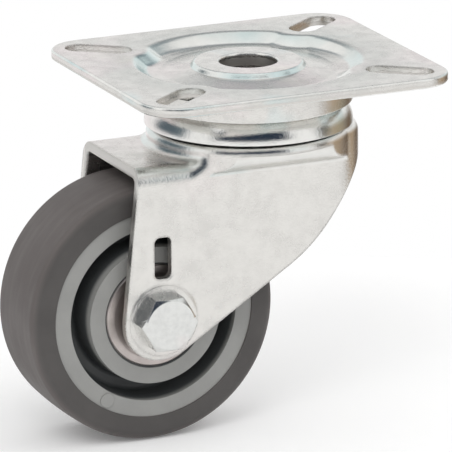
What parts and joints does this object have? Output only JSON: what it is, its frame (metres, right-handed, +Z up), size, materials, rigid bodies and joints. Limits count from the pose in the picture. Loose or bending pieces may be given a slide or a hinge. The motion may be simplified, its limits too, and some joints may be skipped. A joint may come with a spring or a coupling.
{
  "type": "swivel castor",
  "caption": "Swivel castor with a slotted pressed top plate, a ball-bearing swivel head, a pressed steel fork and a rubber-tyred wheel on a bolted axle.",
  "frame": {"origin": "centre of the top plate's mounting face, on the swivel axis", "axes": "+Z up, out of the mounting face; +X along the plate's long side, away from the trailing wheel; +Y along the axle, towards the nut"},
  "size_m": [0.128, 0.09, 0.112],
  "materials": {
    "zinc_plate": "bright zinc plate on pressed sheet, faintly iridescent",
    "bolt_zinc": "bright zinc plate on forged and turned steel",
    "bearing_steel": "ground and polished bearing steel",
    "bearing_shield": "plain pressed shield",
    "nylon": "natural nylon",
    "cage_nylon": "moulded nylon",
    "core_plastic": "moulded mid-grey polypropylene",
    "tread_rubber": "smooth matte thermoplastic rubber, warm dark grey"
  },
  "bodies": {
    "plate": {"top_plate": "zinc_plate", "bearing_pan": "zinc_plate", "upper_race": "zinc_plate", "lower_race": "bearing_steel"},
    "swivel_balls": {"upper_balls": "bearing_steel", "lower_balls": "bearing_steel"},
    "fork": {"fork": "zinc_plate", "axle_bolt": "bolt_zinc", "axle_washer": "bolt_zinc", "axle_nut": "bolt_zinc", "nut_insert": "nylon", "axle_sleeve": "bolt_zinc", "inner_spacer": "bolt_zinc", "bearing_inner_ring_head_side": "bearing_steel", "side_spacer_head_side": "bolt_zinc", "bearing_inner_ring_nut_side": "bearing_steel", "side_spacer_nut_side": "bolt_zinc"},
    "wheel": {"tyre": "tread_rubber", "wheel_core": "core_plastic", "bearing_outer_ring_head_side": "bearing_steel", "bearing_outer_seal_head_side": "bearing_shield", "bearing_inner_seal_head_side": "bearing_shield", "bearing_outer_ring_nut_side": "bearing_steel", "bearing_outer_seal_nut_side": "bearing_shield", "bearing_inner_seal_nut_side": "bearing_shield"},
    "axle_balls": {"bearing_balls_head_side": "bearing_steel", "bearing_cage_head_side": "cage_nylon", "bearing_balls_nut_side": "bearing_steel", "bearing_cage_nut_side": "cage_nylon"}
  },
  "joints": [
    {"name": "swivel", "type": "hinge", "parent": "plate", "child": "fork", "pos_m": [0, 0, 0], "axis": [0, 0, 1], "continuous": true},
    {"name": "wheel_spin", "type": "hinge", "parent": "fork", "child": "wheel", "pos_m": [-0.038, 0, -0.072], "axis": [0, 1, 0], "continuous": true},
    {"name": "swivel_balls_roll", "type": "hinge", "parent": "plate", "child": "swivel_balls", "pos_m": [0, 0, 0], "axis": [0, 0, 1], "continuous": true},
    {"name": "axle_balls_roll", "type": "hinge", "parent": "fork", "child": "axle_balls", "pos_m": [-0.038, 0, -0.072], "axis": [0, 1, 0], "continuous": true}
  ],
  "couplings": [
    {"joint": "swivel_balls_roll", "follows": "swivel", "ratio": 0.5},
    {"joint": "axle_balls_roll", "follows": "wheel_spin", "ratio": 0.63523}
  ]
}
